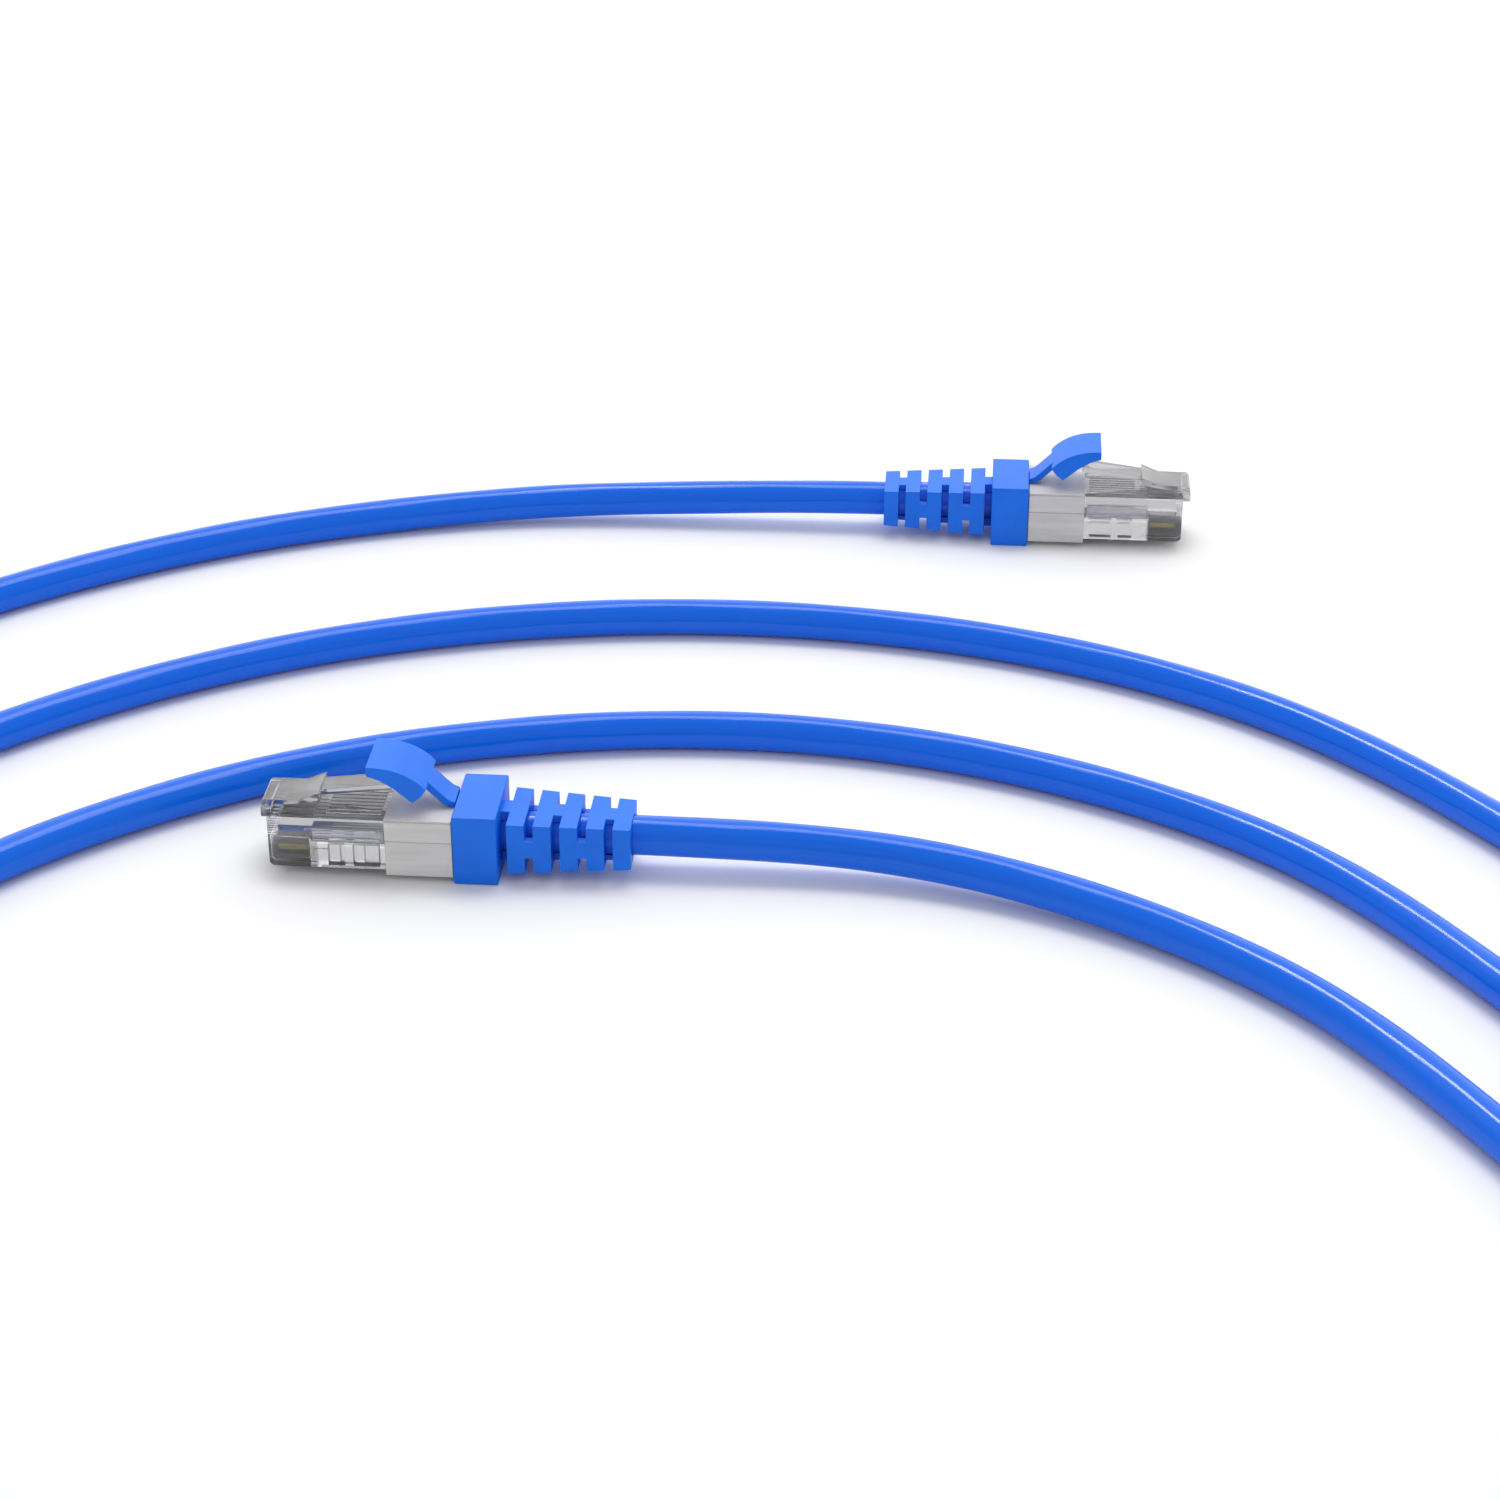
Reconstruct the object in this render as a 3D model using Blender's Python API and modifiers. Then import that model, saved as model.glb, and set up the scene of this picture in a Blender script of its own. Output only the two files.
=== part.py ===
"""Ethernet patch cable: a blue cable laid in three loose turns, with a booted 8P8C plug on each end.

Metres, +Z up. The origin is on the surface that the cable lies on, midway between the two plugs.
Each plug is modelled in its own frame: +X runs from the boot's rear face (x = 0) to the nose,
+Z is up through the latch, and z = 0 is the axis of the cable. The frame's empty then places it.
"""

import math

import bmesh
import bpy
from mathutils import Matrix, Vector

MM = 0.001
GAP = 0.1 * MM  # between pieces that touch in the real plug

# Cable
CABLE_DIAMETER = 5.9 * MM
CABLE_RADIUS = CABLE_DIAMETER / 2
CABLE_BORE_RADIUS = CABLE_RADIUS + 0.12 * MM
CABLE_POINTS = 76  # points of the tube between the two boots
FINE_STEPS = 1500  # steps of the curve that those points are picked from
BEND_WEIGHT = 60 * MM  # one radian of bend earns as many points as this much length
CABLE_END_X = 30.0 * MM  # where the jacket is trimmed, inside the mould
SAG_LENGTH = 110 * MM  # of cable beyond a boot, before it lies on the surface

# Where the plugs lie: plug B is plug A turned half a turn about the origin
PLUG_CENTRE = Vector((0.047, 0.0585))
PLUG_YAW = math.radians(-4.5)

# Boot: five ribs, then a square collar, with slots between the ribs that let it bend
RIB_COUNT = 5
RIB_LENGTH = 2.5 * MM
RIB_PITCH = 3.78 * MM
RIB_REAR_SIZE = (9.1 * MM, 6.45 * MM)  # width and height of the boot at its rear face
RIB_FRONT_SIZE = (11.6 * MM, 8.05 * MM)  # and at its collar
BRIDGE_WIDTH = 3.4 * MM  # of the strips above and below the cable in an open-sided slot
SIDE_WALL = 1.4 * MM  # of the walls beside the cable in an open-topped slot
SIDE_WALL_Z = (-1.4 * MM, 1.2 * MM)  # the bottom and the top of those walls
COLLAR_REAR_X = RIB_COUNT * RIB_PITCH
COLLAR_FRONT_X = 25.3 * MM
COLLAR_SIZE = (13.5 * MM, 10.9 * MM)
COLLAR_ROUND = 0.25 * MM
AXIS_HEIGHT = COLLAR_SIZE[1] / 2  # of the plug's axis above the surface, as the collar rests on it

# Inner mould: a frosted block that joins the plug to the boot
NECK_SIZE = (10.4 * MM, 7.4 * MM)
NECK_REAR_X = 20.2 * MM
MOULD_SIZE = (12.9 * MM, 9.1 * MM)
MOULD_FRONT_X = 35.1 * MM
MOULD_LINE_DEPTH = 0.13 * MM
MOULD_LINES_Z = [(0.9 * MM, 1.05 * MM), (4.15 * MM, 4.32 * MM)]  # fine parting lines along its sides

# Clear plug housing, to the usual 8P8C width
HOUSING_REAR_X = 30.6 * MM
HOUSING_FRONT_X = 52.1 * MM
HOUSING_SIZE = (11.68 * MM, 8.0 * MM)
FAN_CAVITY = (8.8 * MM, 6.4 * MM)  # where the wires fan out
FAN_CAVITY_END_X = 33.2 * MM
GUIDE_CAVITY = (8.9 * MM, 1.9 * MM)
GUIDE_CAVITY_X = (35.3 * MM, 46.1 * MM)
WIRE_SLOT = (8.25 * MM, 1.05 * MM)
WIRE_SLOT_END_X = 51.2 * MM
CONTACT_SLOT_WIDTH = 0.54 * MM
CONTACT_SLOT_REAR_X = 46.4 * MM
SIDE_GROOVE_DEPTH = 0.35 * MM  # of the long groove beside the wires
SIDE_GROOVE_X = (35.7 * MM, 46.7 * MM)
SIDE_GROOVE_Z = (0.6 * MM, 2.2 * MM)
GROOVE_LINES = 3
GROOVE_STEP = 0.15 * MM  # depth of the fine lines along the groove
SIDE_POCKET_DEPTH = 1.1 * MM  # of the pockets below the groove
SIDE_POCKETS_X = [(36.1 * MM, 39.9 * MM), (41.1 * MM, 43.5 * MM)]
SIDE_POCKET_Z = (-3.6 * MM, -0.2 * MM)
NOSE_LINE_X = (45.2 * MM, 51.2 * MM)  # of the shallow recess beside the contacts
NOSE_LINE_Z = (-3.2 * MM, -2.5 * MM)
NOSE_LINE_DEPTH = 0.25 * MM
TOP_GROOVE_X = (35.9 * MM, 43.9 * MM)  # of the grooves in the top, one above each wire
TOP_GROOVE_SIZE = (0.32 * MM, 0.5 * MM)  # width and depth
NOSE_CHAMFER = 0.5 * MM
ROOT_BLOCK_FRONT_X = 53.5 * MM  # of the block on the nose that the latch bends from
ROOT_BLOCK_BOTTOM_Z = 2.6 * MM

# Wires and contacts
WIRE_PITCH = 1.02 * MM
WIRE_RADIUS = 0.44 * MM
WIRE_ROW_Z = 0.6 * MM
WIRE_START_X = CABLE_END_X + 0.3 * MM
WIRE_ROW_X = 35.2 * MM  # where the wires have fanned out into one row
WIRE_END_X = 50.9 * MM
WIRE_START_PITCH = 0.62 * MM
WIRE_START_RISE = 0.55 * MM
WIRE_STEPS = 5
GUIDE_X = (35.5 * MM, 45.9 * MM)
GUIDE_SIZE = (8.7 * MM, 1.7 * MM)
GUIDE_HOLE_RADIUS = 0.48 * MM
CONTACT_THICKNESS = 0.32 * MM
CONTACT_X = (46.6 * MM, 51.0 * MM)
CONTACT_BOTTOM_Z = -2.9 * MM
CONTACT_TIP_Z = 0.05 * MM
CONTACT_TEETH = 3

# Moving pieces: where their hinges are, in the plug's frame
GUARD_HINGE = (COLLAR_FRONT_X, 5.05 * MM)
LATCH_HINGE = (52.8 * MM, 4.15 * MM)
GUARD_STRAP_WIDTH = 4.8 * MM
GUARD_HOOD_WIDTH = 9.2 * MM
LATCH_WIDTH = 6.6 * MM
LATCH_TAIL_WIDTH = 3.8 * MM

# The eight wires in the order of the contacts: name and colour
WIRES = [
    ("white_orange", (0.90, 0.62, 0.42, 1)),
    ("orange", (0.85, 0.28, 0.03, 1)),
    ("white_green", (0.62, 0.82, 0.62, 1)),
    ("blue", (0.04, 0.13, 0.62, 1)),
    ("white_blue", (0.60, 0.68, 0.90, 1)),
    ("green", (0.03, 0.36, 0.10, 1)),
    ("white_brown", (0.78, 0.66, 0.56, 1)),
    ("brown", (0.23, 0.10, 0.04, 1)),
]

# The cable's route on the surface, from plug A's boot to plug B's, as three loose turns
ROUTE = [
    (-0.0140, 0.0630), (-0.0390, 0.0634), (-0.0660, 0.0588), (-0.0910, 0.0500),
    (-0.1150, 0.0365), (-0.1370, 0.0190), (-0.1560, -0.0040), (-0.1690, -0.0370),
    (-0.1720, -0.0760), (-0.1650, -0.1170), (-0.1505, -0.1580), (-0.1290, -0.1975),
    (-0.0920, -0.2275), (-0.0400, -0.2365), (0.0150, -0.2370), (0.0660, -0.2305),
    (0.1075, -0.2130), (0.1320, -0.1820), (0.1405, -0.1470), (0.1350, -0.1115),
    (0.1220, -0.0806), (0.1060, -0.0530), (0.0820, -0.0215), (0.0530, 0.0000),
    (0.0210, 0.0125), (-0.0120, 0.0172), (-0.0450, 0.0145), (-0.0770, 0.0045),
    (-0.1060, -0.0125), (-0.1300, -0.0345), (-0.1480, -0.0630), (-0.1540, -0.0980),
    (-0.1470, -0.1350), (-0.1320, -0.1720), (-0.1060, -0.2030), (-0.0700, -0.2215),
    (-0.0240, -0.2280), (0.0260, -0.2275), (0.0740, -0.2190), (0.1085, -0.1935),
    (0.1205, -0.1610), (0.1130, -0.1288), (0.0971, -0.0966), (0.0760, -0.0635),
    (0.0490, -0.0415), (0.0195, -0.0283), (-0.0115, -0.0232), (-0.0420, -0.0260),
    (-0.0720, -0.0358), (-0.0990, -0.0526), (-0.1210, -0.0750), (-0.1360, -0.1050),
    (-0.1350, -0.1380), (-0.1210, -0.1690), (-0.0980, -0.1960), (-0.0660, -0.2115),
    (-0.0230, -0.2165), (0.0240, -0.2165), (0.0670, -0.2100), (0.0940, -0.1885),
    (0.1000, -0.1610), (0.0896, -0.1312), (0.0705, -0.0990), (0.0455, -0.0770),
    (0.0180, -0.0648),
]


# ---------- materials ----------


def material(name, colour, roughness, metallic=0.0, transmission=0.0):
    """A Principled material of one colour."""
    made = bpy.data.materials.new(name)
    made.use_nodes = True
    shader = made.node_tree.nodes["Principled BSDF"]
    shader.inputs["Base Color"].default_value = colour
    shader.inputs["Roughness"].default_value = roughness
    shader.inputs["Metallic"].default_value = metallic
    shader.inputs["Transmission Weight"].default_value = transmission
    made.diffuse_color = colour
    return made


# ---------- mesh helpers ----------


def add_object(name, mesh, collection):
    made = bpy.data.objects.new(name, mesh)
    collection.objects.link(made)
    return made


def add_box(bm, x, y, z):
    """Adds a closed box between two values along each axis, and returns its vertices."""
    size = Matrix.Diagonal((x[1] - x[0], y[1] - y[0], z[1] - z[0], 1))
    middle = Matrix.Translation(((x[0] + x[1]) / 2, (y[0] + y[1]) / 2, (z[0] + z[1]) / 2))
    return bmesh.ops.create_cube(bm, size=1, matrix=middle @ size)["verts"]


def add_section_box(bm, x, rear_size, front_size, rear_z=0.0, front_z=0.0):
    """Adds a box along X whose width and height change from its rear end to its front end."""
    middle = (x[0] + x[1]) / 2
    for vertex in add_box(bm, x, (-0.5, 0.5), (-0.5, 0.5)):
        at_rear = vertex.co.x < middle
        width, height = rear_size if at_rear else front_size
        vertex.co.y *= width
        vertex.co.z = vertex.co.z * height + (rear_z if at_rear else front_z)


def add_rod(bm, x, radius, y=0.0, z=0.0, sides=24):
    """Adds a closed cylinder along X."""
    turned = Matrix.Rotation(math.radians(90), 4, "Y")
    middle = Matrix.Translation(((x[0] + x[1]) / 2, y, z))
    bmesh.ops.create_cone(
        bm, cap_ends=True, segments=sides, radius1=radius, radius2=radius,
        depth=x[1] - x[0], matrix=middle @ turned,
    )


def mesh_of(bm, name):
    mesh = bpy.data.meshes.new(name)
    bm.to_mesh(mesh)
    bm.free()
    return mesh


def mesh_of_parts(name, *parts):
    """A mesh of shapes given as (function, its arguments)."""
    bm = bmesh.new()
    for add, *arguments in parts:
        add(bm, *arguments)
    return mesh_of(bm, name)


def evaluated_mesh(source, name):
    """The mesh of an object with its modifiers or bevel applied; the object is removed."""
    graph = bpy.context.evaluated_depsgraph_get()
    mesh = bpy.data.meshes.new_from_object(source.evaluated_get(graph))
    mesh.name = name
    bm = bmesh.new()
    bm.from_mesh(mesh)
    bmesh.ops.remove_doubles(bm, verts=bm.verts, dist=0.000001)
    bmesh.ops.recalc_face_normals(bm, faces=bm.faces)
    bm.to_mesh(mesh)
    bm.free()
    bpy.data.objects.remove(source)
    return mesh


def combined(name, body, others, operation):
    """The body joined with or cut by the other meshes."""
    cutters = bpy.data.collections["cutters"]
    tools = bpy.data.collections.new(name + "_tools")
    cutters.children.link(tools)
    for number, mesh in enumerate(others):
        tool = add_object(f"{name}_tool_{number}", mesh, tools)
        tool.hide_render = True
        tool.display_type = "WIRE"
    target = add_object(name + "_body", body, cutters)
    boolean = target.modifiers.new("shape", "BOOLEAN")
    boolean.operation = operation
    boolean.operand_type = "COLLECTION"
    boolean.collection = tools
    boolean.solver = "EXACT"
    bpy.context.view_layer.update()
    made = evaluated_mesh(target, name)
    for tool in list(tools.objects):
        bpy.data.objects.remove(tool)
    bpy.data.collections.remove(tools)
    return made


def rounded(name, mesh, width, angle):
    """The mesh with the edges that are sharper than an angle rounded off."""
    target = add_object(name + "_body", mesh, bpy.data.collections["cutters"])
    bevel = target.modifiers.new("round", "BEVEL")
    bevel.width = width
    bevel.segments = 2
    bevel.limit_method = "ANGLE"
    bevel.angle_limit = math.radians(angle)
    bpy.context.view_layer.update()
    return evaluated_mesh(target, name)


def outline_mesh(name, points, width, hinge):
    """A side outline of (x, z) points drawn out to a width across Y, about its hinge."""
    curve = bpy.data.curves.new(name, "CURVE")
    curve.dimensions = "2D"
    curve.fill_mode = "BOTH"
    curve.extrude = width / 2
    spline = curve.splines.new("POLY")
    spline.points.add(len(points) - 1)
    for point, (x, z) in zip(spline.points, points):
        point.co = (x - hinge[0], z - hinge[1], 0, 1)
    spline.use_cyclic_u = True
    source = add_object(name + "_outline", curve, bpy.data.collections["cutters"])
    bpy.context.view_layer.update()
    mesh = evaluated_mesh(source, name)
    mesh.transform(Matrix.Rotation(math.radians(90), 4, "X"))
    return mesh


def tube_mesh(name, points, radius, resolution):
    """A round tube with capped ends through the points."""
    curve = bpy.data.curves.new(name, "CURVE")
    curve.dimensions = "3D"
    curve.twist_mode = "Z_UP"
    curve.bevel_depth = radius
    curve.bevel_resolution = resolution
    curve.use_fill_caps = True
    spline = curve.splines.new("POLY")
    spline.points.add(len(points) - 1)
    for point, place in zip(spline.points, points):
        point.co = (*place, 1)
    source = add_object(name + "_line", curve, bpy.data.collections["cutters"])
    bpy.context.view_layer.update()
    return evaluated_mesh(source, name)


# ---------- the cable ----------


def plug_matrix(half_turns):
    """Places a plug's frame: half_turns is 0 for plug A and 1 for plug B."""
    middle_x = ROOT_BLOCK_FRONT_X / 2
    local = Matrix.Translation((-middle_x, 0, AXIS_HEIGHT))
    placed = Matrix.Translation((*PLUG_CENTRE, 0)) @ Matrix.Rotation(PLUG_YAW, 4, "Z")
    return Matrix.Rotation(math.pi * half_turns, 4, "Z") @ placed @ local


def smooth_curve(points, count):
    """Points on the smooth curve through the given points, closer together where it bends more.

    The curve is a natural cubic spline over the distance along the given points.
    """
    reach = [0.0]
    for near, far in zip(points, points[1:]):
        reach.append(reach[-1] + (far - near).length)
    steps = [b - a for a, b in zip(reach, reach[1:])]
    bends = spline_bends(points, steps)

    def place(at):
        index = max(i for i in range(len(steps)) if reach[i] <= at or i == 0)
        step = steps[index]
        a = (reach[index + 1] - at) / step
        b = 1 - a
        straight = points[index] * a + points[index + 1] * b
        return straight + (bends[index] * (a**3 - a) + bends[index + 1] * (b**3 - b)) * step**2 / 6

    fine = [place(reach[-1] * i / FINE_STEPS) for i in range(FINE_STEPS + 1)]
    return spread_by_bend(fine, count)


def spread_by_bend(fine, count):
    """Picks the count points that share out the line's length and its bend evenly."""
    weight = [0.0, (fine[1] - fine[0]).length]
    for before, here, after in zip(fine, fine[1:], fine[2:]):
        turn = (here - before).angle(after - here)
        weight.append(weight[-1] + (after - here).length + turn * BEND_WEIGHT)
    picked = []
    for i in range(count):
        wanted = weight[-1] * i / (count - 1)
        nearest = min(range(len(fine)), key=lambda index: abs(weight[index] - wanted))
        picked.append(fine[nearest])
    return picked


def spline_bends(points, steps):
    """The second derivatives of a natural cubic spline at its points."""
    count = len(points)
    ratios = [0.0] * count
    sums = [Vector((0, 0, 0)) for _ in points]
    for i in range(1, count - 1):
        slope_change = (points[i + 1] - points[i]) / steps[i] - (points[i] - points[i - 1]) / steps[i - 1]
        pivot = 2 * (steps[i - 1] + steps[i]) - steps[i - 1] * ratios[i - 1]
        ratios[i] = steps[i] / pivot
        sums[i] = (6 * slope_change - steps[i - 1] * sums[i - 1]) / pivot
    bends = [Vector((0, 0, 0)) for _ in points]
    for i in range(count - 2, 0, -1):
        bends[i] = sums[i] - ratios[i] * bends[i + 1]
    return bends


def boot_exit(half_turns):
    """Points under a plug's axis from its boot's rear face outwards, which keep the exit straight."""
    frame = plug_matrix(half_turns)
    return [frame @ Vector((x * MM, 0, -AXIS_HEIGHT)) for x in (0, -4)]


def height_at(length):
    """The height of the cable's axis, that much cable beyond a boot.

    The cable sags as a beam does that is held level at one end and comes to rest at the other.
    """
    left = max(1 - length / SAG_LENGTH, 0)
    return CABLE_RADIUS + (AXIS_HEIGHT - CABLE_RADIUS) * left**3 * (4 - 3 * left)


def cable_route():
    """The points of the cable's middle line: straight in each boot, smooth between them."""
    floor = [Vector((x, y, 0)) for x, y in ROUTE]
    between = smooth_curve(boot_exit(0) + floor + boot_exit(1)[::-1], CABLE_POINTS)
    lengths = [0.0]
    for near, far in zip(between, between[1:]):
        lengths.append(lengths[-1] + (far - near).length)
    for point, length in zip(between, lengths):
        point.z = height_at(min(length, lengths[-1] - length))
    ends = [plug_matrix(turns) @ Vector((CABLE_END_X, 0, 0)) for turns in (0, 1)]
    return [ends[0]] + between + [ends[1]]


# ---------- the pieces of a plug ----------


def boot_half_size(x):
    """Half the width and half the height of the ribbed part of the boot at x."""
    share = x / COLLAR_REAR_X
    return [(rear + (front - rear) * share) / 2 for rear, front in zip(RIB_REAR_SIZE, RIB_FRONT_SIZE)]


def slot_cutters(number):
    """The boxes that cut the slot after a rib: open at the sides, then at top and bottom, in turn."""
    x = (number * RIB_PITCH + RIB_LENGTH, (number + 1) * RIB_PITCH)
    half_width, _ = boot_half_size(x[0])
    far = 10 * MM
    if number % 2 == 0:
        sides = [(BRIDGE_WIDTH / 2, far), (-far, -BRIDGE_WIDTH / 2)]
        return [(add_box, x, side, (-far, far)) for side in sides]
    inner = half_width - SIDE_WALL
    return [
        (add_box, x, (-inner, inner), (-far, far)),
        (add_box, x, (-far, far), (SIDE_WALL_Z[1], far)),
        (add_box, x, (-far, far), (-far, SIDE_WALL_Z[0])),
    ]


def boot_mesh():
    ribbed = mesh_of_parts("ribbed", (
        add_section_box, (0, COLLAR_REAR_X + GAP), RIB_REAR_SIZE, RIB_FRONT_SIZE,
    ))
    collar = mesh_of_parts("collar", (
        add_section_box, (COLLAR_REAR_X, COLLAR_FRONT_X), COLLAR_SIZE, COLLAR_SIZE,
    ))
    collar = rounded("collar_round", collar, COLLAR_ROUND, 40)
    outside = combined("boot_outside", ribbed, [collar], "UNION")
    neck_room = [size + 2 * GAP for size in NECK_SIZE]
    cuts = [mesh_of_parts("bore", (add_rod, (-MM, COLLAR_FRONT_X + MM), CABLE_BORE_RADIUS))]
    cuts.append(mesh_of_parts("neck_room", (
        add_section_box, (NECK_REAR_X - GAP, COLLAR_FRONT_X + MM), neck_room, neck_room,
    )))
    for number in range(RIB_COUNT):
        for part in slot_cutters(number):
            cuts.append(mesh_of_parts("slot", part))
    return combined("boot", outside, cuts, "DIFFERENCE")


def side_depth(side, depth, width=HOUSING_SIZE[0]):
    """The y range of a cut that goes that deep into one side of a block: side is -1 or 1."""
    return sorted((side * (width / 2 - depth), side * (width / 2 + MM)))


def mould_mesh():
    block = mesh_of_parts("block", (
        add_section_box, (COLLAR_FRONT_X + GAP, MOULD_FRONT_X), MOULD_SIZE, MOULD_SIZE,
    ))
    neck = mesh_of_parts("neck", (
        add_section_box, (NECK_REAR_X, COLLAR_FRONT_X + MM), NECK_SIZE, NECK_SIZE,
    ))
    outside = combined("mould_outside", block, [neck], "UNION")
    plug_room = [size + 2 * GAP for size in HOUSING_SIZE]
    bore = mesh_of_parts("bore", (add_rod, (NECK_REAR_X - MM, HOUSING_REAR_X + MM), CABLE_BORE_RADIUS))
    socket = mesh_of_parts("socket", (
        add_section_box, (HOUSING_REAR_X - GAP, MOULD_FRONT_X + MM), plug_room, plug_room,
    ))
    line_x = (COLLAR_FRONT_X, MOULD_FRONT_X + MM)
    lines = [
        mesh_of_parts("line", (add_box, line_x, side_depth(side, MOULD_LINE_DEPTH, MOULD_SIZE[0]), z))
        for side in (-1, 1) for z in MOULD_LINES_Z
    ]
    return combined("mould", outside, [bore, socket, *lines], "DIFFERENCE")


def wire_y(number):
    return (number - (len(WIRES) - 1) / 2) * WIRE_PITCH


def housing_cuts():
    """The shapes cut out of the housing: its wire passage, contact slots and moulded recesses."""
    taper_x = (FAN_CAVITY_END_X - GAP, GUIDE_CAVITY_X[0] + GAP)
    cuts = [
        (add_section_box, (HOUSING_REAR_X - MM, FAN_CAVITY_END_X), FAN_CAVITY, FAN_CAVITY),
        (add_section_box, taper_x, FAN_CAVITY, GUIDE_CAVITY, 0.0, WIRE_ROW_Z),
        (add_section_box, GUIDE_CAVITY_X, GUIDE_CAVITY, GUIDE_CAVITY, WIRE_ROW_Z, WIRE_ROW_Z),
        (add_section_box, (GUIDE_CAVITY_X[1] - GAP, WIRE_SLOT_END_X), WIRE_SLOT, WIRE_SLOT,
         WIRE_ROW_Z, WIRE_ROW_Z),
    ]
    half = CONTACT_SLOT_WIDTH / 2
    groove_width, groove_depth = TOP_GROOVE_SIZE
    roof = HOUSING_SIZE[1] / 2
    for number in range(len(WIRES)):
        y = wire_y(number)
        slot_x = (CONTACT_SLOT_REAR_X, HOUSING_FRONT_X + MM)
        cuts.append((add_box, slot_x, (y - half, y + half), (-5 * MM, 0.3 * MM)))
        groove_y = (y - groove_width / 2, y + groove_width / 2)
        cuts.append((add_box, TOP_GROOVE_X, groove_y, (roof - groove_depth, roof + MM)))
    for side in (-1, 1):
        cuts.append((add_box, NOSE_LINE_X, side_depth(side, NOSE_LINE_DEPTH), NOSE_LINE_Z))
        cuts += [(add_box, x, side_depth(side, SIDE_POCKET_DEPTH), SIDE_POCKET_Z) for x in SIDE_POCKETS_X]
        cuts.append((add_box, SIDE_GROOVE_X, side_depth(side, SIDE_GROOVE_DEPTH), SIDE_GROOVE_Z))
        bottom, top = SIDE_GROOVE_Z
        for number in range(GROOVE_LINES):
            low = bottom + (top - bottom) * (number + 0.3) / GROOVE_LINES
            z = (low, low + (top - bottom) * 0.4 / GROOVE_LINES)
            depth = side_depth(side, SIDE_GROOVE_DEPTH + GROOVE_STEP)
            cuts.append((add_box, (SIDE_GROOVE_X[0] + MM, SIDE_GROOVE_X[1] - MM), depth, z))
    return [mesh_of_parts("housing_cut", cut) for cut in cuts]


def housing_mesh():
    bm = bmesh.new()
    add_section_box(bm, (HOUSING_REAR_X, HOUSING_FRONT_X), HOUSING_SIZE, HOUSING_SIZE)
    nose_edges = [
        edge for edge in bm.edges
        if all(vertex.co.x > HOUSING_FRONT_X - GAP and vertex.co.z < 0 for vertex in edge.verts)
    ]
    bmesh.ops.bevel(bm, geom=nose_edges, offset=NOSE_CHAMFER, segments=1, affect="EDGES")
    half_width = LATCH_WIDTH / 2
    root_block = mesh_of_parts("root_block", (
        add_box, (HOUSING_FRONT_X - MM, ROOT_BLOCK_FRONT_X), (-half_width, half_width),
        (ROOT_BLOCK_BOTTOM_Z, HOUSING_SIZE[1] / 2),
    ))
    outside = combined("housing_outside", mesh_of(bm, "housing_box"), [root_block], "UNION")
    return combined("housing", outside, housing_cuts(), "DIFFERENCE")


def guide_mesh():
    half_width, half_height = GUIDE_SIZE[0] / 2, GUIDE_SIZE[1] / 2
    bar = mesh_of_parts("bar", (
        add_box, GUIDE_X, (-half_width, half_width),
        (WIRE_ROW_Z - half_height, WIRE_ROW_Z + half_height),
    ))
    hole_x = (GUIDE_X[0] - MM, GUIDE_X[1] + MM)
    holes = [
        mesh_of_parts("hole", (add_rod, hole_x, GUIDE_HOLE_RADIUS, wire_y(number), WIRE_ROW_Z, 12))
        for number in range(len(WIRES))
    ]
    return combined("wire_guide", bar, holes, "DIFFERENCE")


def contact_mesh():
    """A gold blade: a flat body with a row of teeth that bite up into its wire."""
    rear, front = CONTACT_X
    shoulder = CONTACT_TIP_Z - 0.8 * MM
    tooth = (front - rear) / CONTACT_TEETH
    points = [(rear, CONTACT_BOTTOM_Z + 0.4 * MM), (rear + 0.4 * MM, CONTACT_BOTTOM_Z)]
    points += [(front - 0.7 * MM, CONTACT_BOTTOM_Z), (front - 0.2 * MM, CONTACT_BOTTOM_Z + 0.2 * MM)]
    points += [(front, CONTACT_BOTTOM_Z + 0.7 * MM)]
    for number in range(CONTACT_TEETH):
        root = front - number * tooth
        points += [(root, shoulder), (root - tooth / 2, CONTACT_TIP_Z)]
    points.append((rear, shoulder))
    return outline_mesh("contact", points, CONTACT_THICKNESS, (0, 0))


def wire_points(number):
    """A wire's middle line: two staggered rows at the jacket fan out into one row at the contacts."""
    side = -1 if number % 2 else 1
    start = Vector((WIRE_START_X, wire_y(number) * WIRE_START_PITCH / WIRE_PITCH, side * WIRE_START_RISE))
    row = Vector((WIRE_ROW_X, wire_y(number), WIRE_ROW_Z))
    points = []
    for step in range(WIRE_STEPS + 1):
        share = step / WIRE_STEPS
        eased = share * share * (3 - 2 * share)
        point = start.lerp(row, eased)
        point.x = start.x + (row.x - start.x) * share
        points.append(point)
    return points + [Vector((WIRE_END_X, row.y, row.z))]


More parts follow.
